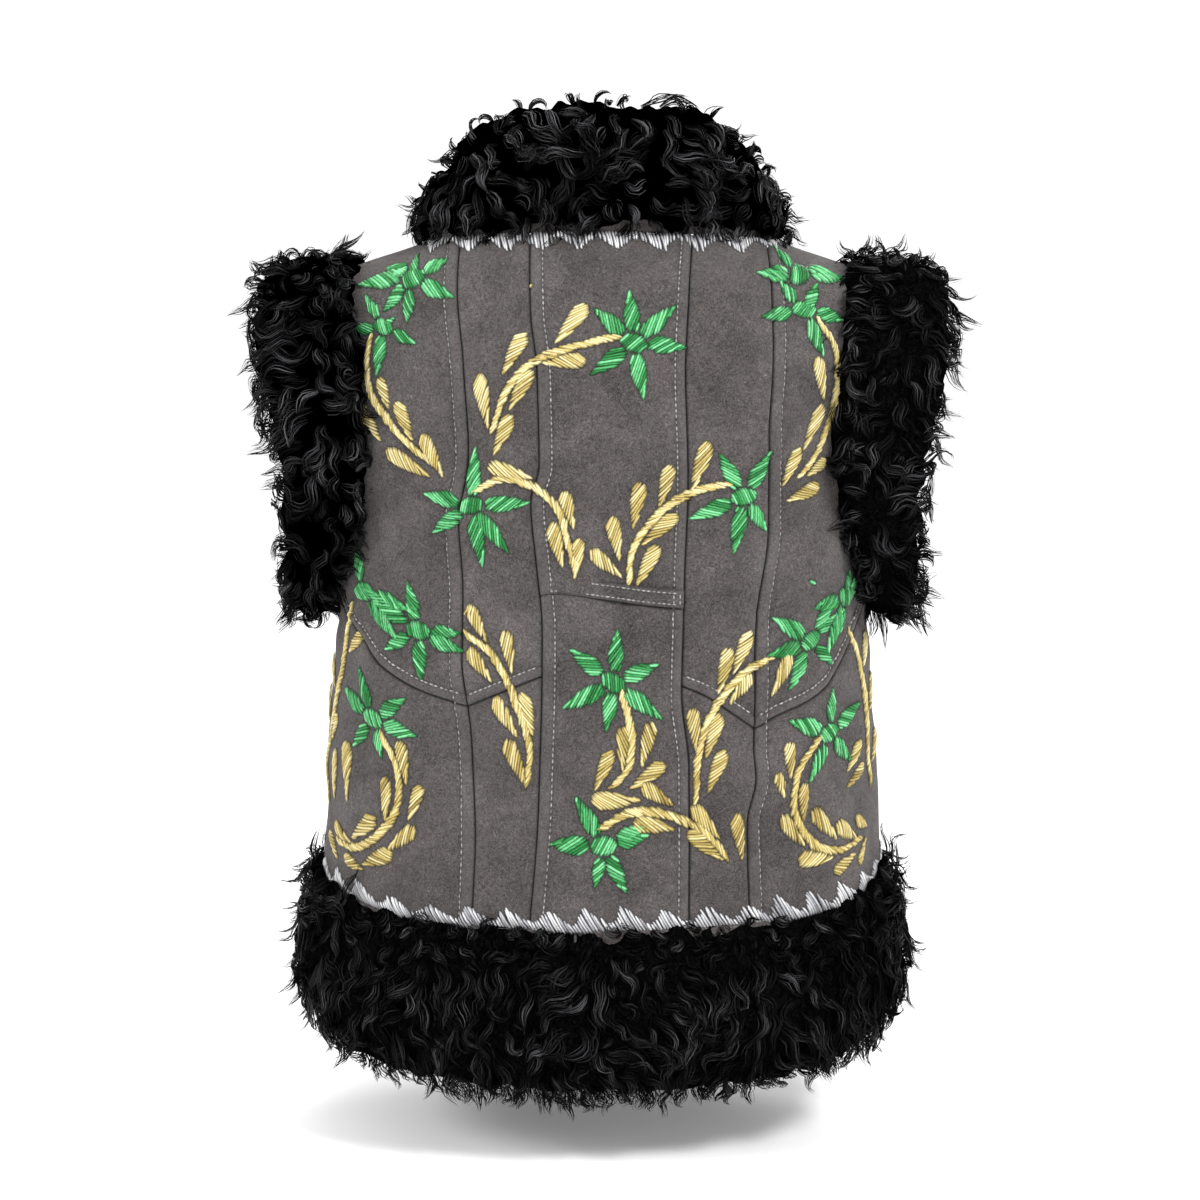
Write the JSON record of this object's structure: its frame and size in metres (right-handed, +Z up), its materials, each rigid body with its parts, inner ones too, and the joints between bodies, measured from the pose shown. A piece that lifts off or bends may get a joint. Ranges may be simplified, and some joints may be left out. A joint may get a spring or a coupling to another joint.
{
  "type": "embroidered sheepskin waistcoat with fur trim, filled out as worn",
  "caption": "Sleeveless suede waistcoat in a worn, hollow form, with panelled back, flower and vine embroidery, tall fur collar, fur armhole trims and a deep fur hem band.",
  "frame": {"origin": "between the shoulders, level with the place where the garment hangs from them, midway between the two armholes", "axes": "+Z up, +X to the wearer's right as seen from behind, -Y out of the embroidered back, +Y out of the chest"},
  "size_m": [0.5158, 0.3058, 0.7123],
  "materials": {
    "suede": "napped suede side of sheepskin, dark grey-brown, matt, mottled by the nap",
    "fur": "long curled lambswool, black, soft highlights"
  },
  "bodies": {
    "root": {"back_centre_upper": "suede", "back_centre_lower": "suede", "back_inner_left_upper": "suede", "back_inner_left_lower": "suede", "back_inner_right_upper": "suede", "back_inner_right_lower": "suede", "back_outer_left_upper": "suede", "back_outer_right_upper": "suede", "side_left": "suede", "side_right": "suede", "back_tab": "suede", "front_left": "suede", "front_right": "suede", "collar_fur": "fur", "armhole_fur_left": "fur", "armhole_fur_right": "fur", "hem_fur_back": "fur", "hem_fur_front_left": "fur", "hem_fur_front_right": "fur"}
  },
  "joints": []
}
